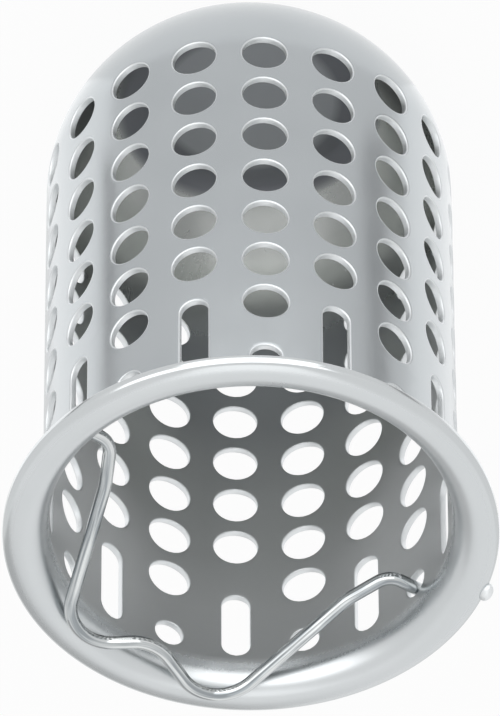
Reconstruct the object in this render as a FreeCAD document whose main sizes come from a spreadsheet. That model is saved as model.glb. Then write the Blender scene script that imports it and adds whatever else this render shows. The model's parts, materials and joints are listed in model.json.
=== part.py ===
import FreeCAD, Part
import math
import os
import types

import Sketcher

# A drain basket strainer: a deep-drawn, perforated cup with a flared and curled rim, and a wire handle
# that swings on its own two ends. Millimetres. +Z points out of the mouth, the closed end stands on
# Z = 0, the handle's hinge line lies along X, and the handle is folded down towards +Y.

SIZES = {
    # the drawn sheet and the cup's overall size
    "body_radius": 23.0,            # outside of the round wall
    "sheet": 0.8,                   # thickness of the sheet
    "overall_height": 72.0,         # closed end to the crest of the rim
    # the closed end, from the wall inwards: a wide shoulder, a tighter toe and a flat foot
    "shoulder_radius": 20.5,
    "toe_radius": 6.0,
    "foot_radius": 12.0,
    # the rim: the wall flares out, runs flat and curls down into a lip
    "flare_radius": 3.0,            # on the outside of the cup
    "flange_flat": 0.2,             # from the top of the flare to the curl
    "curl_radius": 1.2,             # on the outside of the lip
    "lip_height": 1.6,
    # the punched pattern, placed from the foot of the flare
    "mouth_end_gap": 0.5,           # down to the upper end of every slot and small hole
    "top_row_drop": 10.3,           # from there down to the middles of the uppermost round holes
    "hole_diameter": 5.0,
    "row_pitch": 6.7,
    "slot_width": 3.2,
    "slot_length": 11.2,
    "short_slot_length": 9.3,
    "small_hole_diameter": 3.4,
    # a pip left on the lip's edge where the blank was trimmed
    "pip_length": 2.3,
    "pip_height": 1.4,
    "pip_proud": 0.6,
    "pip_depth": 0.8,               # crest of the rim down to the middle of the pip
    # the wire handle, laid flat: across runs along the hinge line, reach runs away from it
    "wire_diameter": 1.5,
    "end_proud": 1.0,               # how far each end sticks out of the wall
    "end_bend_inset": 3.6,          # inside of the wall to the corner of the end bend
    "end_bend_radius": 2.5,
    "knee_inset": 6.1,              # inside of the wall to the knee in each leg
    "knee_reach": 5.0,
    "knee_radius": 9.0,
    "lobe_across_plus": 9.4,        # corner of the lobe on the +X side
    "lobe_across_minus": 11.1,      # corner of the lobe on the -X side
    "lobe_overreach": 2.0,          # outside of the wall to the corner of both lobes
    "lobe_radius": 5.0,
    "dip_depth": 5.4,               # corner of the lobes back to the corner of the dip between them
    "dip_radius": 5.0,
    "end_chamfer": 0.2,
    # clearances
    "hinge_clearance": 0.2,         # wire to the upper end of the hole and of the slot that hold it
    "seat_clearance": 0.3,          # folded handle to the rim that it rests on
}

COLUMN_PAIRS = 9                    # columns with a small hole alternate with columns that end in a slot
COLUMN_STEP = 360.0 / COLUMN_PAIRS
SHORT_SLOT_COLUMN = 3               # counted from +X, towards +Y
PIP_ANGLE = 196.0                   # degrees from +X, towards +Y
MOUTH_END = "Sizes.overall_height - Sizes.sheet - Sizes.flare_radius - Sizes.mouth_end_gap"
VOLUME_TOLERANCE = 0.03             # between a feature's volume and the one worked out by hand

X_AXIS, Y_AXIS, Z_AXIS = FreeCAD.Vector(1, 0, 0), FreeCAD.Vector(0, 1, 0), FreeCAD.Vector(0, 0, 1)
START, END, CENTRE = 1, 2, 3        # the sketcher's numbers for the points of a line or an arc
ORIGIN = -1                         # and for the origin and the horizontal axis
VERTICAL = -2

doc = FreeCAD.newDocument("basket_strainer")


# ---------------------------------------------------------------- the sheet of sizes

def make_size_sheet():
    """Give each driving dimension a cell, with the dimension's name as its alias."""
    cells = doc.addObject("Spreadsheet::Sheet", "Sizes")
    for row, (name, value) in enumerate(SIZES.items(), start=1):
        cells.set(f"A{row}", name)
        cells.set(f"B{row}", str(value))
        cells.setAlias(f"B{row}", name)
    doc.recompute()
    return cells


# ---------------------------------------------------------------- sketching

def origin_feature(body, role):
    return next(feature for feature in body.Origin.OriginFeatures if feature.Role == role)


def sketch_on(body, name, role, turn=0.0):
    """A sketch on one of the body's origin planes, turned about its upright axis by so many degrees."""
    sketch = body.newObject("Sketcher::SketchObject", name)
    sketch.AttachmentSupport = [(origin_feature(body, role), "")]
    sketch.MapMode = "FlatFace"
    sketch.AttachmentOffset = FreeCAD.Placement(FreeCAD.Vector(), FreeCAD.Rotation(Y_AXIS, turn))
    return sketch


def flat(point):
    return FreeCAD.Vector(point[0], point[1], 0)


def add_line(sketch, start, end):
    return sketch.addGeometry(Part.LineSegment(flat(start), flat(end)), False)


def add_arc(sketch, centre, start, end):
    """The shorter arc about a centre, from start to end."""
    across = (start[0] + end[0]) / 2 - centre[0]
    up = (start[1] + end[1]) / 2 - centre[1]
    stretch = math.dist(centre, start) / math.hypot(across, up)
    middle = (centre[0] + across * stretch, centre[1] + up * stretch)
    return sketch.addGeometry(Part.Arc(flat(start), flat(middle), flat(end)), False)


def near_end(sketch, piece, point):
    """Which end of a line or arc lies at a point: an arc's ends swap when it runs clockwise."""
    start = sketch.getPoint(piece, START)
    end = sketch.getPoint(piece, END)
    return START if start.distanceToPoint(flat(point)) < end.distanceToPoint(flat(point)) else END


def join(sketch, first, second, point, smooth):
    kind = "Tangent" if smooth else "Coincident"
    first_end = near_end(sketch, first, point)
    second_end = near_end(sketch, second, point)
    sketch.addConstraint(Sketcher.Constraint(kind, first, first_end, second, second_end))


def hold(sketch, name, formula, kind, *where):
    """Add a dimension and bind it to a formula of the size sheet. Where ends in its starting value."""
    made = sketch.addConstraint(Sketcher.Constraint(kind, *where))
    sketch.renameConstraint(made, name)
    sketch.setExpression(f"Constraints.{name}", formula)


def hold_height(sketch, name, formula, piece, point, value):
    hold(sketch, name, formula, "DistanceY", ORIGIN, START, piece, point, value)


def hold_across(sketch, name, formula, piece, point, value):
    """Hold a point's distance from the upright axis, on the side that it lies."""
    if value > 0:
        hold(sketch, name, formula, "DistanceX", ORIGIN, START, piece, point, value)
    else:
        hold(sketch, name, formula, "DistanceX", piece, point, ORIGIN, START, -value)


# ---------------------------------------------------------------- places worked out from the sizes

def wall_foot():
    """The height where the straight wall ends and the shoulder begins, and the shoulder-to-toe point."""
    centre_gap = size.shoulder_radius - size.toe_radius
    offset = size.foot_radius - (size.body_radius - size.shoulder_radius)
    rise = math.sqrt(centre_gap ** 2 - offset ** 2)
    foot_height = size.toe_radius + rise
    lean = size.shoulder_radius / centre_gap
    meeting = (size.body_radius - size.shoulder_radius + offset * lean, foot_height - rise * lean)
    return foot_height, meeting


def lip_radius():
    """Outside of the lip: past the flare, the flat and the curl."""
    return size.body_radius + size.flare_radius + size.flange_flat + size.curl_radius


def mouth_end():
    """The height of the upper end of every slot and small hole, a little below the foot of the flare."""
    return size.overall_height - size.sheet - size.flare_radius - size.mouth_end_gap


def rows_of_holes():
    """As many rows of round holes as fit between the slots' level and the shoulder."""
    room = mouth_end() - size.top_row_drop - wall_foot()[0]
    return 1 + int(room / size.row_pitch)


def hinge_height():
    return mouth_end() - size.hinge_clearance - size.wire_diameter / 2


def clear_of_rim(distance, height):
    """How far a point over the mouth lies from the wall's inside, the flare or the flat of the rim."""
    flare_centre = size.body_radius + size.flare_radius
    flare_foot = size.overall_height - size.sheet - size.flare_radius
    if height < flare_foot:
        return size.body_radius - size.sheet - distance
    if distance > flare_centre:
        return height - size.overall_height
    return math.hypot(distance - flare_centre, height - flare_foot) - size.flare_radius - size.sheet


def lobe_line():
    """Points along the middle of the wire round both lobes, as (across, reach)."""
    points = []
    for piece in rounded(handle_corners()):
        if piece["kind"] != "arc":
            continue
        first = math.atan2(piece["start"][1] - piece["centre"][1], piece["start"][0] - piece["centre"][0])
        last = math.atan2(piece["end"][1] - piece["centre"][1], piece["end"][0] - piece["centre"][0])
        turn = (last - first + math.pi) % (2 * math.pi) - math.pi
        for step in range(13):
            angle = first + turn * step / 12
            across = piece["centre"][0] + piece["radius"] * math.cos(angle)
            reach = piece["centre"][1] + piece["radius"] * math.sin(angle)
            points.append((across, reach))
    return points


def resting_tilt():
    """The least tilt above level, in degrees, at which the folded handle is clear of the rim."""
    wanted = size.wire_diameter / 2 + size.seat_clearance
    line = lobe_line()
    low, high = 0.0, 60.0
    while high - low > 0.001:
        tilt = (low + high) / 2
        slope = math.radians(tilt)
        gaps = []
        for across, reach in line:
            distance = math.hypot(across, reach * math.cos(slope))
            gaps.append(clear_of_rim(distance, hinge_height() + reach * math.sin(slope)))
        low, high = (low, tilt) if min(gaps) > wanted else (tilt, high)
    return high


# ---------------------------------------------------------------- the cup

def draw_sheet_section(sketch):
    """The sheet's closed outline from the axis to the lip: out along its lower side, back along its upper."""
    crest = size.overall_height
    lip = lip_radius()
    foot_height, meeting = wall_foot()
    toe_centre = (size.foot_radius, size.toe_radius)
    shoulder_centre = (size.body_radius - size.shoulder_radius, foot_height)
    flare_centre = (size.body_radius + size.flare_radius, crest - size.sheet - size.flare_radius)
    curl_centre = (lip - size.curl_radius, crest - size.curl_radius)
    shrink = (size.shoulder_radius - size.sheet) / size.shoulder_radius
    inner_meeting = tuple(c + (m - c) * shrink for c, m in zip(shoulder_centre, meeting))
    outline = [
        ("foot", None, (0, 0)),
        ("toe", toe_centre, (size.foot_radius, 0)),
        ("shoulder", shoulder_centre, meeting),
        ("wall", None, (size.body_radius, foot_height)),
        ("flare", flare_centre, (size.body_radius, flare_centre[1])),
        ("underside", None, (flare_centre[0], crest - size.sheet)),
        ("inner_curl", curl_centre, (curl_centre[0], crest - size.sheet)),
        ("lip_inside", None, (lip - size.sheet, curl_centre[1])),
        ("lip_edge", None, (lip - size.sheet, crest - size.lip_height)),
        ("lip_outside", None, (lip, crest - size.lip_height)),
        ("curl", curl_centre, (lip, curl_centre[1])),
        ("top", None, (curl_centre[0], crest)),
        ("inner_flare", flare_centre, (flare_centre[0], crest)),
        ("inner_wall", None, (size.body_radius - size.sheet, flare_centre[1])),
        ("inner_shoulder", shoulder_centre, (size.body_radius - size.sheet, foot_height)),
        ("inner_toe", toe_centre, inner_meeting),
        ("inner_foot", None, (size.foot_radius, size.sheet)),
        ("axis", None, (0, size.sheet)),
    ]
    piece = {}
    count = len(outline)
    for index, (name, centre, start) in enumerate(outline):
        end = outline[(index + 1) % count][2]
        piece[name] = add_arc(sketch, centre, start, end) if centre else add_line(sketch, start, end)
    sharp = {"lip_edge", "lip_outside", "axis", "foot"}
    for index, (name, centre, start) in enumerate(outline):
        before = outline[index - 1][0]
        join(sketch, piece[before], piece[name], start, name not in sharp)
    for name in ("foot", "underside", "lip_edge", "top", "inner_foot"):
        sketch.addConstraint(Sketcher.Constraint("Horizontal", piece[name]))
    for name in ("wall", "lip_inside", "lip_outside", "inner_wall", "axis"):
        sketch.addConstraint(Sketcher.Constraint("Vertical", piece[name]))
    sketch.addConstraint(Sketcher.Constraint("Coincident", piece["foot"], START, ORIGIN, START))
    for inner, outer in (("inner_flare", "flare"), ("inner_shoulder", "shoulder"), ("inner_toe", "toe")):
        sketch.addConstraint(Sketcher.Constraint("Coincident", piece[inner], CENTRE, piece[outer], CENTRE))

    hold_across(sketch, "foot_width", "Sizes.foot_radius", piece["foot"], END, size.foot_radius)
    hold_across(sketch, "wall_place", "Sizes.body_radius", piece["wall"], START, size.body_radius)
    hold(sketch, "flat_of_the_rim", "Sizes.flange_flat", "Distance", piece["top"], size.flange_flat)
    hold(sketch, "lip_sheet", "Sizes.sheet", "Distance", piece["lip_edge"], size.sheet)
    hold_height(sketch, "crest", "Sizes.overall_height", piece["top"], START, crest)
    hold_height(sketch, "underside_place", "Sizes.overall_height - Sizes.sheet",
                piece["underside"], START, crest - size.sheet)
    hold_height(sketch, "lip_bottom", "Sizes.overall_height - Sizes.lip_height",
                piece["lip_edge"], START, crest - size.lip_height)
    for name in ("toe", "shoulder", "flare", "curl"):
        radius = getattr(size, f"{name}_radius")
        hold(sketch, f"{name}_bend", f"Sizes.{name}_radius", "Radius", piece[name], radius)
    hold(sketch, "inner_curl_bend", "Sizes.curl_radius - Sizes.sheet",
         "Radius", piece["inner_curl"], size.curl_radius - size.sheet)


def draw_round_hole(sketch, name, diameter, formula, height):
    """A circle on the upright axis, its diameter and height both bound to the size sheet."""
    circle = sketch.addGeometry(Part.Circle(flat((0, height)), Z_AXIS, getattr(size, diameter) / 2), False)
    sketch.addConstraint(Sketcher.Constraint("PointOnObject", circle, CENTRE, VERTICAL))
    hold_height(sketch, f"{name}_height", formula, circle, CENTRE, height)
    hold(sketch, f"{name}_width", f"Sizes.{diameter}", "Diameter", circle, getattr(size, diameter))


def draw_rows(sketch, first, last):
    """Round holes up one column. Row 0 is the row nearest the mouth, and the count runs towards the foot."""
    for row in range(first, last):
        formula = f"{MOUTH_END} - Sizes.top_row_drop - {row} * Sizes.row_pitch"
        height = mouth_end() - size.top_row_drop - row * size.row_pitch
        draw_round_hole(sketch, f"row_{row}", "hole_diameter", formula, height)


def draw_slot(sketch, length_name):
    """A slot with round ends on the upright axis, hanging down from the level of the small holes."""
    half = size.slot_width / 2
    upper = mouth_end() - half
    lower = mouth_end() - getattr(size, length_name) + half
    right = add_line(sketch, (half, lower), (half, upper))
    crown = sketch.addGeometry(Part.Arc(flat((half, upper)), flat((0, upper + half)), flat((-half, upper))))
    left = add_line(sketch, (-half, upper), (-half, lower))
    heel = sketch.addGeometry(Part.Arc(flat((-half, lower)), flat((0, lower - half)), flat((half, lower))))
    join(sketch, right, crown, (half, upper), True)
    join(sketch, crown, left, (-half, upper), True)
    join(sketch, left, heel, (-half, lower), True)
    join(sketch, heel, right, (half, lower), True)
    sketch.addConstraint(Sketcher.Constraint("Vertical", right))
    sketch.addConstraint(Sketcher.Constraint("PointOnObject", crown, CENTRE, VERTICAL))
    hold(sketch, "slot_side", "Sizes.slot_width / 2", "Radius", crown, half)
    hold_height(sketch, "upper_end", f"{MOUTH_END} - Sizes.slot_width / 2", crown, CENTRE, upper)
    hold_height(sketch, "lower_end", f"{MOUTH_END} - Sizes.{length_name} + Sizes.slot_width / 2",
                heel, CENTRE, lower)


def punch(body, sketch, name, towards_plus_x):
    """Cut a sketch on the YZ plane through the wall on one side of the cup."""
    pocket = body.newObject("PartDesign::Pocket", name)
    pocket.Profile = sketch
    pocket.Type = "Length"
    pocket.setExpression("Length", "Sizes.body_radius + Sizes.sheet")
    pocket.Reversed = towards_plus_x
    return pocket


def repeat_round(body, feature, name, occurrences, extent):
    pattern = body.newObject("PartDesign::PolarPattern", name)
    pattern.Originals = [feature]
    pattern.Axis = (origin_feature(body, "Z_Axis"), [""])
    pattern.Mode = "Extent"
    pattern.Angle = extent
    pattern.Occurrences = occurrences
    body.Tip = pattern
    return pattern


def check_removed(before, after, expected, what):
    """A cut that points away from the solid removes nothing and raises nothing, so compare volumes."""
    removed = before.Shape.Volume - after.Shape.Volume
    if abs(removed - expected) > VOLUME_TOLERANCE * expected:
        raise RuntimeError(f"{what} removed {removed:.1f} mm3 where {expected:.1f} mm3 was expected")


def make_cup():
    body = doc.addObject("PartDesign::Body", "strainer_cup")
    body.Label = "strainer_cup"

    section = sketch_on(body, "sheet_section", "XZ_Plane")
    draw_sheet_section(section)
    drawn = body.newObject("PartDesign::Revolution", "drawn_cup")
    drawn.Profile = section
    drawn.ReferenceAxis = (section, ["V_Axis"])
    drawn.Angle = 360
    doc.recompute()

    rows = rows_of_holes()
    hole_area = math.pi * size.hole_diameter ** 2 / 4
    small_area = math.pi * size.small_hole_diameter ** 2 / 4
    slot_end_waste = size.slot_width ** 2 * (1 - math.pi / 4)

    full_column = sketch_on(body, "full_column", "YZ_Plane")
    draw_rows(full_column, 0, rows)
    formula = f"{MOUTH_END} - Sizes.small_hole_diameter / 2"
    height = mouth_end() - size.small_hole_diameter / 2
    draw_round_hole(full_column, "small", "small_hole_diameter", formula, height)
    full_punch = punch(body, full_column, "full_column_punch", False)
    full_columns = repeat_round(body, full_punch, "full_columns", COLUMN_PAIRS, 360)
    doc.recompute()
    column_area = rows * hole_area + small_area
    check_removed(drawn, full_columns, COLUMN_PAIRS * column_area * size.sheet, "the full columns")

    slotted_column = sketch_on(body, "slotted_column", "YZ_Plane")
    draw_rows(slotted_column, 1, rows)
    slotted_punch = punch(body, slotted_column, "slotted_column_punch", True)
    slotted_columns = repeat_round(body, slotted_punch, "slotted_columns", COLUMN_PAIRS, 360)
    doc.recompute()
    column_area = (rows - 1) * hole_area
    removed = COLUMN_PAIRS * column_area * size.sheet
    check_removed(full_columns, slotted_columns, removed, "the slotted columns")

    slot = sketch_on(body, "slot", "YZ_Plane", (SHORT_SLOT_COLUMN + 1) * COLUMN_STEP)
    draw_slot(slot, "slot_length")
    slot_punch = punch(body, slot, "slot_punch", True)
    slots = repeat_round(body, slot_punch, "slots", COLUMN_PAIRS - 1, COLUMN_STEP * (COLUMN_PAIRS - 2))
    doc.recompute()
    slot_area = size.slot_width * size.slot_length - slot_end_waste
    check_removed(slotted_columns, slots, (COLUMN_PAIRS - 1) * slot_area * size.sheet, "the slots")

    short_slot = sketch_on(body, "short_slot", "YZ_Plane", SHORT_SLOT_COLUMN * COLUMN_STEP)
    draw_slot(short_slot, "short_slot_length")
    short_punch = punch(body, short_slot, "short_slot_punch", True)
    doc.recompute()
    short_area = size.slot_width * size.short_slot_length - slot_end_waste
    check_removed(slots, short_punch, short_area * size.sheet, "the short slot")

    pip = body.newObject("PartDesign::AdditiveEllipsoid", "trimming_pip")
    pip.setExpression("Radius1", "Sizes.pip_height / 2")
    pip.setExpression("Radius2", "(Sizes.pip_proud + Sizes.sheet) / 2")
    pip.setExpression("Radius3", "Sizes.pip_length / 2")
    distance = lip_radius() + size.pip_proud - (size.pip_proud + size.sheet) / 2
    turn = FreeCAD.Rotation(Z_AXIS, PIP_ANGLE)
    place = turn.multVec(FreeCAD.Vector(distance, 0, size.overall_height - size.pip_depth))
    pip.Placement = FreeCAD.Placement(place, turn)
    body.Tip = pip
    doc.recompute()
    return body


# ---------------------------------------------------------------- the handle

def handle_corners():
    """The corners that the wire is bent round, from its +X end to its -X end.

    Each is (name, side, across, reach, bend radius), with across and reach as (formula, value) pairs."""
    inside = size.body_radius - size.sheet
    wall = "Sizes.body_radius - Sizes.sheet"
    tip = ("Sizes.body_radius + Sizes.end_proud", size.body_radius + size.end_proud)
    bend = (f"{wall} - Sizes.end_bend_inset", inside - size.end_bend_inset)
    knee = (f"{wall} - Sizes.knee_inset", inside - size.knee_inset)
    level = ("0", 0.0)
    half = [
        ("tip", tip, level, None),
        ("end_bend", bend, level, "end_bend_radius"),
        ("knee", knee, ("Sizes.knee_reach", size.knee_reach), "knee_radius"),
    ]
    corners = [(name, 1, across, reach, radius) for name, across, reach, radius in half]
    outside = size.body_radius + size.lobe_overreach
    reach = ("Sizes.body_radius + Sizes.lobe_overreach", outside)
    dip_reach = ("Sizes.body_radius + Sizes.lobe_overreach - Sizes.dip_depth", outside - size.dip_depth)
    corners.append(("lobe", 1, ("Sizes.lobe_across_plus", size.lobe_across_plus), reach, "lobe_radius"))
    corners.append(("dip", 0, level, dip_reach, "dip_radius"))
    corners.append(("lobe", -1, ("Sizes.lobe_across_minus", size.lobe_across_minus), reach, "lobe_radius"))
    corners += [(name, -1, across, reach, radius) for name, across, reach, radius in reversed(half)]
    return corners


def rounded(corners):
    """Straight runs joined by tangent arcs, as a list of pieces in order."""
    points = [(side * across[1], reach[1]) for name, side, across, reach, radius in corners]
    pieces = []
    last = points[0]
    for index in range(1, len(points) - 1):
        before, corner, after = points[index - 1:index + 2]
        radius = getattr(size, corners[index][4])
        inward = unit(corner, before)
        outward = unit(corner, after)
        opening = math.acos(inward[0] * outward[0] + inward[1] * outward[1])
        setback = radius / math.tan(opening / 2)
        start = (corner[0] + inward[0] * setback, corner[1] + inward[1] * setback)
        end = (corner[0] + outward[0] * setback, corner[1] + outward[1] * setback)
        middle = unit((0, 0), (inward[0] + outward[0], inward[1] + outward[1]))
        depth = radius / math.sin(opening / 2)
        centre = (corner[0] + middle[0] * depth, corner[1] + middle[1] * depth)
        pieces.append({"kind": "line", "start": last, "end": start})
        pieces.append({"kind": "arc", "start": start, "end": end, "centre": centre, "radius": radius,
                       "size": corners[index][4]})
        last = end
    pieces.append({"kind": "line", "start": last, "end": points[-1]})
    return pieces


def unit(start, end):
    length = math.dist(start, end)
    return (end[0] - start[0]) / length, (end[1] - start[1]) / length


def draw_handle_path(sketch):
    """The wire's centreline. Its corners are points of the sketch that the sizes hold and the runs pass."""
    corners = handle_corners()
    made = []
    for piece in rounded(corners):
        if piece["kind"] == "line":
            made.append(add_line(sketch, piece["start"], piece["end"]))
        else:
            made.append(add_arc(sketch, piece["centre"], piece["start"], piece["end"]))
    pieces = rounded(corners)
    for index in range(1, len(made)):
        join(sketch, made[index - 1], made[index], pieces[index]["start"], True)
    for index, piece in enumerate(pieces):
        if piece["kind"] == "arc":
            hold(sketch, f"bend_{index}", f"Sizes.{piece['size']}", "Radius", made[index], piece["radius"])
    last = len(corners) - 1
    for index, (name, side, across, reach, radius) in enumerate(corners):
        if index in (0, last):
            run, end = (made[0], START) if index == 0 else (made[-1], END)
        else:
            place = flat((side * across[1], reach[1]))
            run, end = sketch.addGeometry(Part.Point(place), True), START
            for neighbour in (made[2 * index - 2], made[2 * index]):
                sketch.addConstraint(Sketcher.Constraint("PointOnObject", run, end, neighbour))
        if side:
            hold_across(sketch, f"{name}_across_{index}", across[0], run, end, side * across[1])
        else:
            sketch.addConstraint(Sketcher.Constraint("PointOnObject", run, end, VERTICAL))
        if reach[1]:
            hold_height(sketch, f"{name}_reach_{index}", reach[0], run, end, reach[1])
        else:
            sketch.addConstraint(Sketcher.Constraint("PointOnObject", run, end, ORIGIN))
    return pieces


def make_handle():
    body = doc.addObject("PartDesign::Body", "bail_handle")
    body.Label = "bail_handle"

    path = sketch_on(body, "wire_path", "XY_Plane")
    pieces = draw_handle_path(path)
    section = sketch_on(body, "wire_section", "YZ_Plane")
    section.setExpression("AttachmentOffset.Base.z", "Sizes.body_radius + Sizes.end_proud")
    circle = section.addGeometry(Part.Circle(FreeCAD.Vector(), Z_AXIS, size.wire_diameter / 2), False)
    section.addConstraint(Sketcher.Constraint("Coincident", circle, CENTRE, ORIGIN, START))
    hold(section, "wire", "Sizes.wire_diameter", "Diameter", circle, size.wire_diameter)
    doc.recompute()

    wire = body.newObject("PartDesign::AdditivePipe", "bent_wire")
    wire.Profile = section
    wire.Spine = (path, [f"Edge{number}" for number in range(1, len(pieces) + 1)])
    doc.recompute()
    length = path.Shape.Length
    expected = length * math.pi * size.wire_diameter ** 2 / 4
    if abs(wire.Shape.Volume - expected) > VOLUME_TOLERANCE * expected:
        raise RuntimeError(f"the wire holds {wire.Shape.Volume:.1f} mm3, not {expected:.1f} mm3")

    tip = size.body_radius + size.end_proud
    rims = []
    for number, edge in enumerate(wire.Shape.Edges, start=1):
        if abs(abs(edge.CenterOfMass.x) - tip) < 1e-6:
            rims.append(f"Edge{number}")
    chamfer = body.newObject("PartDesign::Chamfer", "broken_ends")
    chamfer.Base = (wire, rims)
    chamfer.setExpression("Size", "Sizes.end_chamfer")
    body.Tip = chamfer
    doc.recompute()

    tilt = resting_tilt()
    place = FreeCAD.Vector(0, 0, hinge_height())
    body.Placement = FreeCAD.Placement(place, FreeCAD.Rotation(X_AXIS, tilt))
    print(f"hinge at Z {hinge_height():.3f}, folded {tilt:.2f} degrees above level, wire {length:.1f} long")
    return body


# ---------------------------------------------------------------- building and writing

cells = make_size_sheet()
size = types.SimpleNamespace(**{name: float(cells.get(name)) for name in SIZES})

parts = [make_cup(), make_handle()]
doc.recompute()

for item in doc.Objects:
    if "Invalid" in item.State or "Error" in item.State:
        raise RuntimeError(f"{item.Name} failed: {item.State}")
for part in parts:
    if part.Shape.isNull() or not part.Shape.isValid() or len(part.Shape.Solids) != 1:
        raise RuntimeError(f"{part.Label} isn't one valid solid")

os.makedirs("parts", exist_ok=True)
for part in parts:
    part.Shape.exportStep(f"parts/{part.Label}.step")
    box = part.Shape.BoundBox
    print(f"{part.Label}: {box.XLength:.2f} x {box.YLength:.2f} x {box.ZLength:.2f}, "
          f"{part.Shape.Volume:.1f} mm3, {len(part.Shape.Faces)} faces")
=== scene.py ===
import json
import math

import bmesh
import bpy
import numpy as np
from mathutils import Matrix, Vector


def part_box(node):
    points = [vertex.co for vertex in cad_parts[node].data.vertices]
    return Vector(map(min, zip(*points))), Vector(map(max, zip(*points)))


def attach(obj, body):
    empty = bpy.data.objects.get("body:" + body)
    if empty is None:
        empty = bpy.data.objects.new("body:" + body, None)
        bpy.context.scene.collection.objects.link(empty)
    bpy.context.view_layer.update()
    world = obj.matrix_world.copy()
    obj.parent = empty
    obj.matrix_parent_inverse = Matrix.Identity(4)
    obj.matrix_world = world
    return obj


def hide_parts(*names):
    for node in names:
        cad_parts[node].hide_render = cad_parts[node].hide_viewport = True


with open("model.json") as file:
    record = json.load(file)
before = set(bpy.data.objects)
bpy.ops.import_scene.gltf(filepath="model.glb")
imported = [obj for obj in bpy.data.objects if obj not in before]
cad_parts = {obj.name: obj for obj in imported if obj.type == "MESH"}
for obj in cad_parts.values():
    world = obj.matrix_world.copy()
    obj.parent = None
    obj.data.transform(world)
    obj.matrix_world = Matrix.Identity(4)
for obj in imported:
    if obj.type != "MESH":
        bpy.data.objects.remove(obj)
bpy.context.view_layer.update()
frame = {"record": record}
record = frame["record"]
mm = 0.001

swing = record["behaviour"]["joints"][0]
swingRange = np.degrees(swing["range"][1]) if "range" in swing else swing["range_deg"][1]
wallMount = next(m for m in record["mounts"] if m["name"] == "drain_body")
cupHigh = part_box("strainer_cup")[1]
print("frame loaded")


class Val:
    # a socket that can stand in an expression
    def __init__(self, tree, socket):
        self.tree, self.socket = tree, socket

    def maths(self, operation, first, second):
        made = self.tree.nodes.new("ShaderNodeMath")
        made.operation = operation
        for slot, item in zip(made.inputs, (first, second)):
            if isinstance(item, Val):
                self.tree.links.new(item.socket, slot)
            else:
                slot.default_value = item
        return Val(self.tree, made.outputs[0])

    def __add__(self, other):
        return self.maths("ADD", self, other)

    def __radd__(self, other):
        return self.maths("ADD", other, self)

    def __sub__(self, other):
        return self.maths("SUBTRACT", self, other)

    def __rsub__(self, other):
        return self.maths("SUBTRACT", other, self)

    def __mul__(self, other):
        return self.maths("MULTIPLY", self, other)

    def __rmul__(self, other):
        return self.maths("MULTIPLY", other, self)

    def __pow__(self, other):
        return self.maths("POWER", self, other)

    def __rpow__(self, other):
        return self.maths("POWER", other, self)


class Finish:
    def __init__(self, name, world=False):
        self.made = (bpy.data.worlds if world else bpy.data.materials).new(name)
        self.made.use_nodes = True
        self.tree = self.made.node_tree
        self.tree.nodes.clear()
        self.ending = "ShaderNodeOutputWorld" if world else "ShaderNodeOutputMaterial"

    def node(self, kind, settings=None, sockets=None, output=0):
        # settings come first, because some of them change which sockets there are
        made = self.tree.nodes.new(kind)
        for key, value in (settings or {}).items():
            setattr(made, key, value)
        for key, value in (sockets or {}).items():
            if isinstance(value, Val):
                self.tree.links.new(value.socket, made.inputs[key])
            else:
                made.inputs[key].default_value = value
        return Val(self.tree, made.outputs[output]) if len(made.outputs) else None

    def noise(self, place, scale, detail=2.0):
        sockets = {"Vector": place, "Scale": scale, "Detail": detail}
        return self.node("ShaderNodeTexNoise", {}, sockets)

    def blend(self, share, first, second):
        # from the first colour at a share of 0 to the second at 1
        first, second = [item if isinstance(item, Val) else (*item, 1) for item in (first, second)]
        return self.node("ShaderNodeMix", {"data_type": "RGBA"}, {0: share, 6: first, 7: second}, 2)

    def ramp(self, value, start, end):
        # 0 at the start and 1 at the end, and level outside them
        sockets = {"Value": value, "From Min": start, "From Max": end, "To Min": 0.0, "To Max": 1.0}
        return self.node("ShaderNodeMapRange", {"clamp": True}, sockets)

    def rampMm(self, value, ends):
        # the same between two places in millimetres
        return self.ramp(value, ends[0] * mm, ends[1] * mm)

    def bumped(self, look, lines, grain):
        height = look["lineShare"] * lines + (1 - look["lineShare"]) * grain
        return self.node("ShaderNodeBump", {}, {"Height": height, "Distance": look["bump"]})

    def metal(self, colour, rough, bump):
        return self.close(self.node("ShaderNodeBsdfPrincipled", {}, {
            "Base Color": colour, "Metallic": 1.0, "Roughness": rough, "Normal": bump}))

    def seen(self):
        # 1 for what the camera sees directly or in metal, 0 for light that falls on something matt
        path = [self.node("ShaderNodeLightPath", output=name)
                for name in ("Is Camera Ray", "Is Glossy Ray", "Is Transmission Ray")]
        return path[0] + path[1] + path[2]

    def close(self, surface):
        self.node(self.ending, {}, {"Surface": surface})
        return self.made


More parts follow.
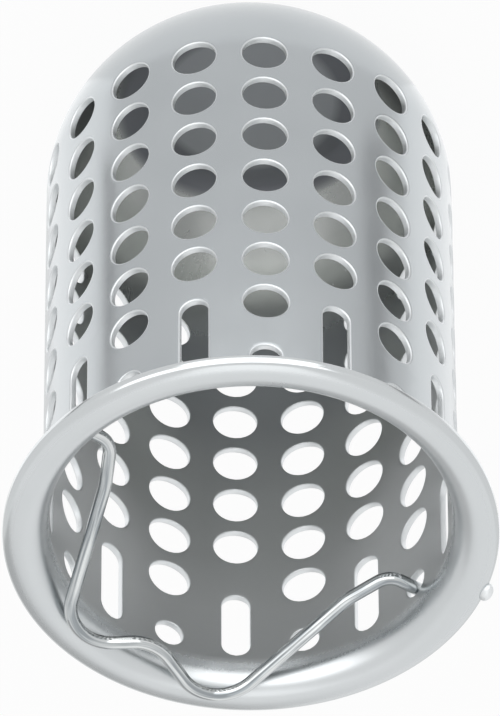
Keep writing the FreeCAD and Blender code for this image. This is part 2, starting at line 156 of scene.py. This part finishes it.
sheetLook = {
    "bodyColours": ((0.405, 0.43, 0.445), (0.45, 0.475, 0.49)),
    # painted light: the rim is lighter than the wall
    "rimColours": ((0.55, 0.575, 0.585), (0.60, 0.62, 0.63)),
    "insideColour": (0.545, 0.56, 0.565),
    "mouthColour": (0.44, 0.455, 0.46),    # painted shade: the inside is darker towards the mouth
    # painted light on the lower inside wall
    "lowWallColour": (0.61, 0.63, 0.635),
    "bendColours": ((0.41, 0.42, 0.41), (0.68, 0.70, 0.68)),       # painted shade at its foot and painted light at its top
    # painted shade: the closed end is darker inside
    "endColour": (0.225, 0.235, 0.245),
    "toeColour": (0.12, 0.125, 0.135),     # painted shade, darkest in the toe's crease
    "edgeColour": (0.74, 0.76, 0.77),      # the freshly sheared edges of the holes, lighter, and partly a painted highlight; on the pip a painted glint
    "insideRoughness": 0.32,
    "bendRoughness": 0.26,
    "rimRoughness": 0.30,
    "lipRoughness": 0.15,
    "edgeRoughness": 0.5,
    "roughness": 0.24,
    "roughLines": 0.05,
    "roughCloud": 0.08,
    "lineStretch": (1.0, 1.0, 0.06),
    "lineScale": 2200.0,
    "lineDetail": 3.0,
    "lineShare": 0.5,                      # of the bump, and the grain makes the rest
    "grainScale": 2600.0,
    "cloudScale": 110.0,
    "bump": 0.0000006,
    # heights in millimetres between which one colour or roughness turns into the next, painted shade and
    # light among them
    "end": (1.3, 2.1),
    "bend": (16.0, 19.0),
    "bendRise": (6.0, 10.0),
    "lowWall": (24.0, 40.0),
    # heights over which the painted shade by the mouth comes in
    "mouth": (61.0, 69.0),
    "rim": (68.6, 70.6),
    # and distances from the axis
    "toe": (9.6, 10.8),
    "lip": (26.2, 27.0),
}


def sheetSteel(look):
    # satin sheet: soft clouds in the polish, fine lines down the wall and a fine grain; its colour also
    # holds painted shade in the closed end, the toe and by the mouth, and painted light on the rim, the low
    # inside wall, the bend's top and the hole edges
    f = Finish("satinSteel")
    place = f.node("ShaderNodeTexCoord", output="Object")
    stretched = f.node("ShaderNodeMapping", {}, {"Vector": place, "Scale": look["lineStretch"]})
    lines = f.noise(stretched, look["lineScale"], look["lineDetail"])
    grain = f.noise(place, look["grainScale"])
    cloud = f.noise(place, look["cloudScale"])
    x, y, z = [f.node("ShaderNodeSeparateXYZ", {}, {0: place}, output) for output in range(3)]
    radius = (x * x + y * y) ** 0.5
    inside = f.node("ShaderNodeAttribute", {"attribute_name": "inside"}, output="Fac")
    edge = f.node("ShaderNodeAttribute", {"attribute_name": "edge"}, output="Fac")
    end = inside * (1 - f.rampMm(z, look["end"]))
    bend = inside * (1 - f.rampMm(z, look["bend"]))
    rim = (1 - inside) * f.rampMm(z, look["rim"])
    lip = rim * f.rampMm(radius, look["lip"])
    colour = f.blend(cloud, *look["bodyColours"])
    # painted light on the rim
    colour = f.blend(rim, colour, f.blend(cloud, *look["rimColours"]))
    colour = f.blend(inside, colour, look["insideColour"])
    # painted shade: the inside darkens towards the mouth
    colour = f.blend(inside * f.rampMm(z, look["mouth"]), colour, look["mouthColour"])
    lowWall = inside * (1 - f.rampMm(z, look["lowWall"]))
    # painted light on the lower inside wall
    colour = f.blend(lowWall, colour, look["lowWallColour"])
    bendRise = f.rampMm(z, look["bendRise"])
    # painted shade low in the shoulder, turning to painted light higher up
    colour = f.blend(bend, colour, f.blend(bendRise, *look["bendColours"]))
    # painted shade in the closed end, darkest in its toe
    colour = f.blend(end, colour, look["endColour"])
    colour = f.blend(end * f.rampMm(radius, look["toe"]), colour, look["toeColour"])
    # lighter sheared hole edges, partly a painted highlight, and the pip's painted glint
    colour = f.blend(edge, colour, look["edgeColour"])
    rough = look["roughness"] + inside * (look["insideRoughness"] - look["roughness"])
    rough = rough + (bend - end) * (look["bendRoughness"] - look["insideRoughness"])
    rough = rough + rim * (look["rimRoughness"] - look["roughness"])
    rough = rough + lip * (look["lipRoughness"] - look["rimRoughness"])
    rough = rough + edge * (look["edgeRoughness"] - look["roughness"])
    rough = rough + look["roughLines"] * (lines - 0.5) + look["roughCloud"] * (cloud - 0.5)
    return f.metal(colour, rough, f.bumped(look, lines, grain))


wireLook = {
    "colours": ((0.30, 0.325, 0.34), (0.66, 0.68, 0.68)),
    "roughness": 0.10,
    "roughLines": 0.08,
    "lineScale": 1.6,          # drawing lines round the wire
    "lineDetail": 3.0,
    "lineShare": 0.7,          # of the bump, and the grain makes the rest
    "grainScale": 3000.0,
    "cloudScale": 200.0,
    "streakShare": 0.8,        # of the streaks' contrast, and the clouds make the rest
    "streakEnds": (0.4, 0.6),
    "bump": 0.0000008,
}


def drawnSteel(look):
    # bright drawn wire: streaks that follow the wire round its bends, read from its own attribute
    f = Finish("brightWire")
    place = f.node("ShaderNodeTexCoord", output="Object")
    drawn = f.node("ShaderNodeAttribute", {"attribute_name": "drawn"}, output="Vector")
    lines = f.noise(drawn, look["lineScale"], look["lineDetail"])
    grain = f.noise(place, look["grainScale"])
    cloud = f.noise(place, look["cloudScale"])
    mixed = look["streakShare"] * lines + (1 - look["streakShare"]) * cloud
    colour = f.blend(f.ramp(mixed, *look["streakEnds"]), *look["colours"])
    rough = look["roughness"] + look["roughLines"] * (lines - 0.5)
    return f.metal(colour, rough, f.bumped(look, lines, grain))


sheetFinish = sheetSteel(sheetLook)
wireFinish = drawnSteel(wireLook)
print("finishes made")


def gridQuads(rows, columns):
    # corners of every face between rows i and i + 1, columns j and j + 1; the last column joins the first
    i = np.arange(rows - 1)[:, None]
    j = np.arange(columns)[None, :]
    k = (j + 1) % columns
    low, high = i * columns, (i + 1) * columns
    return np.stack([low + j, low + k, high + k, high + j], axis=-1).reshape(-1, 4)


mergeWithin = 0.002 * mm


def makePiece(name, grids, material, body, replaced=(), marks=None):
    # grids are points as rows x columns x 3, closed across the columns; seams and poles are merged,
    # and marks are named values for the finish, with one array for each grid
    points, faces, count = [], [], 0
    for grid in grids:
        rows, columns = grid.shape[:2]
        points.append(grid.reshape(-1, 3))
        faces.append(gridQuads(rows, columns) + count)
        count += rows * columns
    mesh = bpy.data.meshes.new(name)
    mesh.from_pydata((np.concatenate(points) * mm).tolist(), [], np.concatenate(faces).tolist())
    for label, parts in (marks or {}).items():
        wide = parts[0].ndim == 3
        mark = mesh.attributes.new(label, "FLOAT_VECTOR" if wide else "FLOAT", "POINT")
        values = np.concatenate([part.ravel() for part in parts]).astype(np.float32)
        mark.data.foreach_set("vector" if wide else "value", values)
    work = bmesh.new()
    work.from_mesh(mesh)
    bmesh.ops.remove_doubles(work, verts=work.verts, dist=mergeWithin)
    work.to_mesh(mesh)
    work.free()
    mesh.polygons.foreach_set("use_smooth", np.ones(len(mesh.polygons), bool))
    mesh.materials.append(material)
    piece = bpy.data.objects.new(name, mesh)
    bpy.context.scene.collection.objects.link(piece)
    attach(piece, body)
    if replaced:
        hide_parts(*replaced)
    print(name, len(mesh.polygons), "faces")


# sizes in millimetres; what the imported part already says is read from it
cup = {
    "wallRadius": wallMount["dims"]["r_mm"],
    "crest": cupHigh.z / mm,
    "lipRadius": cupHigh.x / mm,
    "sheet": 0.8,
    "shoulderRadius": 20.5,
    "toeRadius": 6.0,
    "footRadius": 12.0,
    "flareRadius": 3.0,
    "curlRadius": 1.2,
    "lipHeight": 1.6,
    "crown": 2.3,           # from the lip's outside in to the crest
    "crownDrop": 1.0,       # and from the crest down to the lip's widest point
    "lipEdge": 0.208,       # broken edges of the lip
    "edgeRound": 0.13,      # and of the holes inside
    "punchRound": 0.2,      # the punch draws the outer edges of the holes in a little more
    "mouthEnd": 4.3,        # crest down to the upper end of slots and small holes
    "topRow": 14.6,         # crest down to the uppermost row of round holes
    "rowPitch": 6.7,
    "rows": 7,
    "columns": 18,
    "holeWidth": 5.0,
    "smallWidth": 3.4,
    "slotWidth": 3.2,
    "slotLength": 11.2,
    "shortSlotLength": 9.3,
    "shortColumn": 6,       # counted from +X towards +Y
    "plainBand": 0.12,      # height of unpunched wall under the flare
    "insideFrom": 0.9,      # share of the sheet's depth at which its inside starts
    "insideFade": 1.2,      # height over which the inside's duller skin and its painted shade by the mouth end in the flare
    "acrossSteps": 10,      # mesh steps over one column's width
    "upSteps": 8,           # and over one row's height
    "ringShares": (0.0, 0.5, 0.9),         # rings on the way from a cell's rim to its hole
    "edgeAngles": (0, 22, 45, 68, 90),     # and down the hole's rounded edge, in degrees
    "footSteps": 8,         # and along each part of the profile
    "toeSteps": 8,
    "shoulderSteps": 16,
    "flareSteps": 12,
    "curlSteps": 5,
    "lipSteps": 4,
    "crownSteps": 16,
}


def arcPoints(centre, radius, first, last, steps):
    # points on a circle about a centre, from one angle to another in degrees
    angle = np.radians(np.linspace(first, last, steps + 1))
    return np.array(centre) + radius * np.stack([np.cos(angle), np.sin(angle)], axis=-1)


def shoulderPlace():
    # height at which the straight wall ends, and how steeply the shoulder meets the toe: the two are arcs
    # that touch, so their centres are as far apart as their radii differ, and the toe touches the foot
    gap = cup["shoulderRadius"] - cup["toeRadius"]
    offset = cup["footRadius"] - (cup["wallRadius"] - cup["shoulderRadius"])
    rise = math.sqrt(gap ** 2 - offset ** 2)
    lean = math.degrees(math.atan2(rise, offset))
    return cup["toeRadius"] + rise, lean


footHeight, toeLean = shoulderPlace()
shoulderCentre = (cup["wallRadius"] - cup["shoulderRadius"], footHeight)
middleRadius = cup["shoulderRadius"] - cup["sheet"] / 2


def onSheet(theta, along, depth):
    # along runs up the wall and, below the wall's foot, round the shoulder; depth runs from outside in;
    # a point is the shoulder's centre plus what is left of its radius, turned down by the bend so far
    bend = np.maximum(footHeight - along, 0) / middleRadius
    reach = cup["shoulderRadius"] - depth
    radius = shoulderCentre[0] + reach * np.cos(bend)
    height = np.maximum(along, footHeight) - reach * np.sin(bend)
    return np.stack([radius * np.cos(theta), radius * np.sin(theta), height], axis=-1)


def cellRim(width, levels):
    # points anticlockwise round a cell as seen from outside, from its lower left corner: (angle, along)
    across, up = cup["acrossSteps"], len(levels) - 1
    flatRun = np.linspace(-width / 2, width / 2, across + 1)[:-1]
    angle = np.concatenate([flatRun, np.full(up, width / 2), -flatRun, np.full(up, -width / 2)])
    low, high = np.full(across, levels[0]), np.full(across, levels[-1])
    return angle, np.concatenate([low, levels[:-1], high, levels[:0:-1]])


def punchedCell(levels, holeLow, holeHigh, holeWidth):
    # a cell of wall with a round or slotted hole, in rings from its outer rim, through the hole, to its
    # inner rim; its sides have a point at each level, so that they meet the cells beside it
    width = 2 * math.pi / cup["columns"]
    angle, along = cellRim(width, levels)
    half, sheet = holeWidth / 2, cup["sheet"]
    nearest = np.clip(along, holeLow + half, holeHigh - half)
    side, over = angle * cup["wallRadius"], along - nearest
    length = np.hypot(side, over)
    side, over = side / length, over / length
    # each face comes in towards the hole and turns down a quarter circle at its edge;
    # a step is the share of the way to the hole, the clearance round it, the depth and the edge mark
    faces = []
    for edge in (cup["punchRound"], cup["edgeRound"]):
        flatSteps = [(share, edge, 0.0, 0.0) for share in cup["ringShares"]]
        roundSteps = [(1.0, edge * (1 - math.sin(a)), edge * (1 - math.cos(a)), math.sin(a))
                      for a in np.radians(cup["edgeAngles"])]
        faces.append(flatSteps + roundSteps)
    outer, inner = faces
    steps = outer + [(share, clear, sheet - depth, mark) for share, clear, depth, mark in reversed(inner)]
    rings = []
    for share, clear, depth, mark in steps:
        reach = half + clear
        holeAngle = np.arcsin(side * reach / (cup["wallRadius"] - depth))
        holeAlong = nearest + over * reach
        ringAngle = angle + (holeAngle - angle) * share
        ringAlong = along + (holeAlong - along) * share
        rings.append((ringAngle, ringAlong, np.full_like(angle, depth), np.full_like(angle, mark)))
    return [np.array(part) for part in zip(*rings)]


def placeCells(cell, columns, lift=0.0):
    # one grid, with its edge mark, for each column that the cell is repeated in
    angle, along, depth, mark = cell
    turn = np.array(columns) * 2 * math.pi / cup["columns"]
    return [(onSheet(angle + t, along + lift, depth), mark) for t in turn]


def turned(line):
    # a line of (radius, height) carried round the axis
    steps = cup["columns"] * cup["acrossSteps"]
    theta = (np.arange(steps) / steps + 0.5 / cup["columns"]) * 2 * math.pi
    line = np.asarray(line)
    radius, height = line[:, :1], line[:, 1:]
    return np.stack([radius * np.cos(theta), radius * np.sin(theta),
                     np.broadcast_to(height, (len(line), steps))], axis=-1)


def closedEnd(lowest):
    # the flat foot, the toe's arc and the shoulder's arc, outside from the axis to the lowest cells and
    # inside back to the axis
    sheet, foot, toe = cup["sheet"], cup["footRadius"], cup["toeRadius"]
    shoulder, steps = cup["shoulderRadius"], cup["shoulderSteps"]
    bend = math.degrees((footHeight - lowest) / middleRadius)
    flat = np.linspace(0, foot, cup["footSteps"] + 1)
    outer = [np.stack([flat, np.zeros_like(flat)], axis=-1)[:-1],
             arcPoints((foot, toe), toe, -90, -toeLean, cup["toeSteps"])[:-1],
             arcPoints(shoulderCentre, shoulder, -toeLean, -bend, steps)]
    inner = [arcPoints(shoulderCentre, shoulder - sheet, -bend, -toeLean, steps)[:-1],
             arcPoints((foot, toe), toe - sheet, -toeLean, -90, cup["toeSteps"])[:-1],
             np.stack([flat[::-1], np.full_like(flat, sheet)], axis=-1)]
    return np.concatenate(outer), np.concatenate(inner)


def rimLine():
    # from a narrow plain band outside, under the flare and the curl, round the lip and over the crest
    # to the same band inside: arcs below, and two quarter ellipses above
    sheet, crest, lip = cup["sheet"], cup["crest"], cup["lipRadius"]
    flare, curl, edge = cup["flareRadius"], cup["curlRadius"], cup["lipEdge"]
    flareCentre = (cup["wallRadius"] + flare, crest - sheet - flare)
    curlCentre = (lip - curl, crest - curl)
    lowLip = crest - cup["lipHeight"]
    # the quarter ellipses meet level at the crest
    turn = np.radians(np.linspace(0, 90, cup["crownSteps"] + 1))
    crown, drop = cup["crown"], cup["crownDrop"]
    mouth = cup["wallRadius"] - sheet
    flareWide, flareDeep = lip - crown - mouth, flare + sheet
    bandFoot = flareCentre[1] - cup["plainBand"]
    return np.concatenate([
        [(cup["wallRadius"], bandFoot)],
        arcPoints(flareCentre, flare, 180, 90, cup["flareSteps"]),
        arcPoints(curlCentre, curl - sheet, 90, 0, cup["curlSteps"]),
        arcPoints((lip - sheet + edge, lowLip + edge), edge, 180, 270, cup["lipSteps"]),
        arcPoints((lip - edge, lowLip + edge), edge, -90, 0, cup["lipSteps"]),
        np.stack([lip - crown * (1 - np.cos(turn)), crest - drop * (1 - np.sin(turn))], axis=-1),
        np.stack([mouth + flareWide * (1 - np.sin(turn)), crest - flareDeep * (1 - np.cos(turn))], axis=-1),
        [(mouth, bandFoot)],
    ])


def insideCup(grid):
    # 0 on the outside of the sheet, 1 on its inside, thinning out over the first of the flare
    radius, z = np.hypot(grid[..., 0], grid[..., 1]), grid[..., 2]
    flareFoot = cup["crest"] - cup["sheet"] - cup["flareRadius"]
    toShoulder = np.hypot(radius - shoulderCentre[0], z - footHeight)
    skin = cup["sheet"] * cup["insideFrom"]
    inWall = (z >= footHeight) & (radius < cup["wallRadius"] - skin)
    inEnd = (z < footHeight) & (toShoulder < cup["shoulderRadius"] - skin) & (z > skin)
    return np.where(inWall, np.clip(1 - (z - flareFoot) / cup["insideFade"], 0, 1), inEnd)


def buildCup():
    # a cell for each hole, side by side round the wall: rows of round holes, and small holes and slots by
    # turns under the rim, where a slot also takes the place of a round hole; the rim and the end are turned
    crest, pitch = cup["crest"], cup["rowPitch"]
    top = crest - cup["topRow"]
    bandFoot = crest - cup["sheet"] - cup["flareRadius"] - cup["plainBand"]
    slotTop = crest - cup["mouthEnd"]
    rowLevels = np.linspace(-pitch / 2, pitch / 2, cup["upSteps"] + 1)
    rimLevels = np.linspace(top + pitch / 2, bandFoot, cup["upSteps"] + 1)
    allColumns = list(range(cup["columns"]))
    slotted, full = allColumns[0::2], allColumns[1::2]
    half = cup["holeWidth"] / 2
    cells = []
    cell = punchedCell(rowLevels, -half, half, cup["holeWidth"])
    for row in range(cup["rows"]):
        cells += placeCells(cell, full if row == 0 else allColumns, top - row * pitch)
    cell = punchedCell(rimLevels, slotTop - cup["smallWidth"], slotTop, cup["smallWidth"])
    cells += placeCells(cell, full)
    for length, columns in ((cup["slotLength"], [c for c in slotted if c != cup["shortColumn"]]),
                            (cup["shortSlotLength"], [cup["shortColumn"]])):
        levels = np.append(top + rowLevels, rimLevels[1:])
        cell = punchedCell(levels, slotTop - length, slotTop, cup["slotWidth"])
        cells += placeCells(cell, columns)
    lowest = top - (cup["rows"] - 0.5) * pitch
    outer, inner = closedEnd(lowest)
    cells += [(grid, np.zeros(grid.shape[:2])) for grid in map(turned, (outer, rimLine(), inner))]
    grids, edges = zip(*cells)
    marks = {"edge": edges, "inside": [insideCup(grid) for grid in grids]}
    makePiece("perforatedCup", grids, sheetFinish, "cup", ["strainer_cup"], marks)


buildCup()


wire = {
    "width": 1.5,
    "endProud": 1.0,
    "endBend": (18.6, 0.0, 2.5),        # corner across and out from the hinge line, and bend radius
    "knee": (16.1, 5.0, 9.0),
    "lobePlus": (9.4, 25.0, 5.0),
    "dip": (0.0, 19.6, 5.0),
    "lobeMinus": (11.1, 25.0, 5.0),
    "endRound": 0.25,
    "endAngles": (0, 30, 60, 90),       # rings round it, in degrees
    "aroundSteps": 48,
    "bendStep": 2.5,                    # degrees
    "streakPace": 0.06,                 # how fast the drawing streaks change along the wire
}


def bentLine(corners):
    # straight runs between corners, each corner replaced by the arc of its radius that touches both runs
    line = [np.array(corners[0][:2])]
    for before, corner, after in zip(corners, corners[1:], corners[2:]):
        at = np.array(corner[:2])
        inward, outward = np.array(before[:2]) - at, np.array(after[:2]) - at
        inward, outward = inward / np.linalg.norm(inward), outward / np.linalg.norm(outward)
        opening = math.acos(float(inward @ outward))
        middle = inward + outward
        centre = at + middle / np.linalg.norm(middle) * corner[2] / math.sin(opening / 2)
        setback = corner[2] / math.tan(opening / 2)
        start, end = at + inward * setback, at + outward * setback
        first = math.atan2(*(start - centre)[::-1])
        turn = (math.atan2(*(end - centre)[::-1]) - first + math.pi) % (2 * math.pi) - math.pi
        steps = max(3, round(abs(math.degrees(turn)) / wire["bendStep"]))
        angle = first + turn * np.linspace(0, 1, steps + 1)
        line += list(centre + corner[2] * np.stack([np.cos(angle), np.sin(angle)], axis=-1))
    line.append(np.array(corners[-1][:2]))
    return np.array(line)


def tube(line, ahead, radii, normalOfPlane):
    # circles square to the direction ahead along a flat line, each with its own radius
    across = np.cross(normalOfPlane, ahead)
    turn = (np.arange(wire["aroundSteps"]) / wire["aroundSteps"] * 2 * math.pi)[:, None]
    ring = across[:, None] * np.cos(turn) + normalOfPlane * np.sin(turn)
    return line[:, None] + ring * radii[:, None, None]


def buildWire():
    # the ends lie along the hinge line, and each closes in a quarter round and a flat
    tip = cup["wallRadius"] + wire["endProud"]
    minus = wire["lobeMinus"]
    half = [(tip, 0.0, 0.0), wire["endBend"], wire["knee"]]
    mirrored = [(-a, r, b) for a, r, b in reversed(half)]
    line = bentLine(half + [wire["lobePlus"], wire["dip"], (-minus[0], *minus[1:])] + mirrored)
    radius, edge = wire["width"] / 2, wire["endRound"]
    turn = np.radians(wire["endAngles"])
    rings = len(turn) + 1
    cap = np.stack([np.append(tip, tip - edge * (1 - np.cos(turn))), np.zeros(rings)], axis=-1)
    capRadius = np.append(0.0, radius - edge * (1 - np.sin(turn)))
    radii = np.concatenate([capRadius, np.full(len(line) - 2, radius), capRadius[::-1]])
    line = np.concatenate([cap, line[1:-1], cap[::-1] * [-1, 1]])
    tilt = math.radians((180 - swingRange) / 2)
    hinge = np.array(swing["pos_m"]) / mm
    sideways, outwards = np.array([1.0, 0, 0]), np.array([0, math.cos(tilt), math.sin(tilt)])
    placed = hinge + line[:, :1] * sideways + line[:, 1:] * outwards
    ahead = np.gradient(placed, axis=0)
    ahead[:rings] = ahead[-rings:] = -sideways
    ahead /= np.linalg.norm(ahead, axis=1)[:, None]
    square = np.cross(sideways, outwards)
    grid = tube(placed, ahead, radii, square)
    # the streaks run with the length, slowly, and go round with the section
    around = (grid - placed[:, None]) / np.maximum(radii, edge)[:, None, None]
    runs = np.linalg.norm(np.diff(placed, axis=0), axis=1)
    along = np.cumsum(np.append(0, runs)) * wire["streakPace"]
    side = around @ square
    over = np.einsum("ijk,ik->ij", around, np.cross(square, ahead))
    drawn = np.stack([np.broadcast_to(along[:, None], side.shape), side, over], axis=-1)
    makePiece("bailWire", [grid], wireFinish, "handle", ["bail_handle"], {"drawn": [drawn]})


buildWire()

pip = {"length": 2.5, "height": 1.7, "proud": 0.8, "below": 0.8, "bearing": 196.0, "steps": 24}


def buildPip():
    # an ellipsoid: long round the lip, sunk into the sheet by its thickness
    steps = pip["steps"]
    up = np.radians(np.linspace(-90, 90, steps // 2 + 1))[:, None]
    turn = (np.arange(steps) / steps * 2 * math.pi)[None, :]
    depth = pip["proud"] + cup["sheet"]
    out = cup["lipRadius"] + pip["proud"] - depth / 2 + depth / 2 * np.cos(up) * np.cos(turn)
    side = pip["length"] / 2 * np.cos(up) * np.sin(turn)
    height = cup["crest"] - pip["below"] + pip["height"] / 2 * np.sin(up) + 0 * turn
    bearing = math.radians(pip["bearing"])
    x = out * math.cos(bearing) - side * math.sin(bearing)
    y = out * math.sin(bearing) + side * math.cos(bearing)
    grid = np.stack([x, y, height], axis=-1)
    # the pip takes the hole edges' colour as a painted glint
    bare = {"edge": [np.ones(grid.shape[:2])], "inside": [np.zeros(grid.shape[:2])]}
    makePiece("trimmingPip", [grid], sheetFinish, "cup", marks=bare)


buildPip()


view = {
    "bearing": 34.5,
    "elevation": 45.77,
    "roll": 180.3,
    "distance": 1.2973,
    "aimHeight": 0.04284,
    "lens": 582.5,
    "sensor": 36.0,
    "clip": (0.01, 50.0),
}

stage = {
    "floorSide": 6.0,
    "floorDrop": 0.00002,      # keeps the floor from sharing the foot's plane
    "floorColour": (0.86, 0.86, 0.86),
    "plainWhite": 0.93,        # share of the floor that is even white to the camera and in reflections
    "sky": 0.62,
}


def flatObject(name, corners, faces, material):
    mesh = bpy.data.meshes.new(name)
    mesh.from_pydata(corners, [], faces)
    mesh.materials.append(material)
    made = bpy.data.objects.new(name, mesh)
    bpy.context.scene.collection.objects.link(made)
    return made


def buildFloor():
    f = Finish("paleFloor")
    matt = f.node("ShaderNodeBsdfDiffuse", {}, {"Color": (*stage["floorColour"], 1)})
    white = f.node("ShaderNodeEmission", {}, {"Color": (1, 1, 1, 1), "Strength": 1.0})
    share = f.seen() * stage["plainWhite"]
    material = f.close(f.node("ShaderNodeMixShader", {}, {0: share, 1: matt, 2: white}))
    half, z = stage["floorSide"] / 2, -stage["floorDrop"]
    corners = [(-half, -half, z), (half, -half, z), (half, half, z), (-half, half, z)]
    flatObject("floor", corners, [(0, 1, 2, 3)], material)


def buildWorld():
    # white to the camera and in metal, and a soft light on what is matt
    f = Finish("paleRoom", world=True)
    strength = stage["sky"] + f.seen() * (1 - stage["sky"])
    bpy.context.scene.world = f.close(f.node("ShaderNodeBackground", {}, {
        "Color": (1, 1, 1, 1), "Strength": strength}))


def towards(bearing, elevation):
    # unit vector from the cup's axis towards a bearing and up by an elevation, in degrees
    a, e = math.radians(bearing), math.radians(elevation)
    return Vector((math.sin(a) * math.cos(e), -math.cos(a) * math.cos(e), math.sin(e)))


lamps = {
    "aimHeight": 0.04,
    # name, bearing from the camera's, elevation, distance, width, height, brightness of its face
    "boxes": (("overhead", 0, 88, 1.2, 0.5, 0.7, 0.5),
              ("front", 12, 26, 1.0, 1.6, 0.9, 1.2),
              ("back", 180, 38, 1.3, 2.4, 1.9, 0.1)),
}


def softBox(name, bearing, elevation, distance, width, height, radiance):
    # a lamp that faces the cup; its power is worked out from the brightness that its face shows
    lamp = bpy.data.lights.new(name, "AREA")
    lamp.shape = "RECTANGLE"
    lamp.size, lamp.size_y = width, height
    lamp.energy = radiance * math.pi * width * height
    box = bpy.data.objects.new(name, lamp)
    back = towards(bearing, elevation)
    box.location = Vector((0, 0, lamps["aimHeight"])) + back * distance
    box.rotation_euler = back.to_track_quat("Z", "Y").to_euler()
    bpy.context.scene.collection.objects.link(box)


cards = {
    "lift": 0.0001,            # and as much again for each strip over the one before
    # name, bearing, start and half width there, half width at the far end, shade
    "strips": (("leftCard", 59.0, 0.004, 0.010, 0.055, 1.4),
               ("rightCard", -64.0, 0.004, 0.010, 0.055, 1.35),
               ("leftFlag", 43.0, 0.027, 0.0026, 0.004, 0.15),
               ("rightFlag", -38.0, 0.024, 0.006, 0.010, 0.5)),
    "stripEnd": 0.110,
    "roundSteps": 48,
    # inner and outer radius, half angle, shade
    "footRing": (0.0125, 0.033, 180.0, 1.15),
    "frontSector": (0.101, 1.2, 27.0, 2.2),
    # bearing, distance, half width, height, shade
    "backWall": (158.0, 0.8, 0.36, 0.62, 0.65),
}


def plainCard(name, corners, faces, shade):
    # a stage card that only reflections see
    f = Finish(name)
    material = f.close(f.node("ShaderNodeEmission", {}, {"Color": (1, 1, 1, 1), "Strength": shade}))
    card = flatObject(name, corners, faces, material)
    card.visible_camera = card.visible_diffuse = card.visible_shadow = False
    card.visible_transmission = card.visible_volume_scatter = False


def stripCard(name, bearing, near, halfNear, halfFar, shade, lift):
    # a flat card that starts near the wall at a bearing and points where the wall there reflects the view
    far = cards["stripEnd"]
    a = math.radians(view["bearing"] + bearing)
    b = math.radians(view["bearing"] + 2 * bearing)
    start = np.array([math.sin(a), -math.cos(a)]) * cup["wallRadius"] * mm
    out = np.array([math.sin(b), -math.cos(b)])
    side = np.array([out[1], -out[0]])
    corners = [start + out * near + side * halfNear, start + out * near - side * halfNear,
               start + out * far - side * halfFar, start + out * far + side * halfFar]
    plainCard(name, [(*corner, lift) for corner in corners], [(0, 1, 2, 3)], shade)


def roundCard(name, inner, outer, halfAngle, shade):
    # part of a flat ring round the cup, out to its half angle on each side of the camera's bearing
    steps = cards["roundSteps"]
    turn = np.radians(view["bearing"] + np.linspace(-halfAngle, halfAngle, steps + 1))
    height = cards["lift"] / 2
    points = [(r * math.sin(t), -r * math.cos(t), height) for r in (inner, outer) for t in turn]
    faces = [(i, i + 1, i + steps + 2, i + steps + 1) for i in range(steps)]
    plainCard(name, points, faces, shade)


def wallCard(name, bearing, distance, halfWidth, height, shade):
    # an upright card that stands on the floor and faces the cup
    a = math.radians(view["bearing"] + bearing)
    out, side = np.array([math.sin(a), -math.cos(a)]), np.array([math.cos(a), math.sin(a)])
    ends = [out * distance - side * halfWidth, out * distance + side * halfWidth]
    corners = [(*ends[0], 0), (*ends[1], 0), (*ends[1], height), (*ends[0], height)]
    plainCard(name, corners, [(0, 1, 2, 3)], shade)


def buildCamera():
    a, r = math.radians(view["bearing"]), math.radians(view["roll"])
    back = towards(view["bearing"], view["elevation"])
    level = Vector((math.cos(a), math.sin(a), 0))
    upright = back.cross(level)
    right = level * math.cos(r) - upright * math.sin(r)
    up = level * math.sin(r) + upright * math.cos(r)
    data = bpy.data.cameras.new("camera")
    data.lens = view["lens"]
    data.sensor_width = view["sensor"]
    data.clip_start, data.clip_end = view["clip"]
    camera = bpy.data.objects.new("camera", data)
    turn = Matrix((right, up, back)).transposed()
    place = Vector((0, 0, view["aimHeight"])) + back * view["distance"]
    camera.matrix_world = Matrix.Translation(place) @ turn.to_4x4()
    bpy.context.scene.collection.objects.link(camera)
    bpy.context.scene.camera = camera


buildFloor()
buildWorld()
for name, bearing, *rest in lamps["boxes"]:
    softBox(name, view["bearing"] + bearing, *rest)
for layer, strip in enumerate(cards["strips"]):
    stripCard(*strip, cards["lift"] * (1 + layer))
roundCard("footCard", *cards["footRing"])
roundCard("frontCard", *cards["frontSector"])
wallCard("backCard", *cards["backWall"])
buildCamera()
bpy.context.scene.view_settings.view_transform = "Standard"
print("stage set")
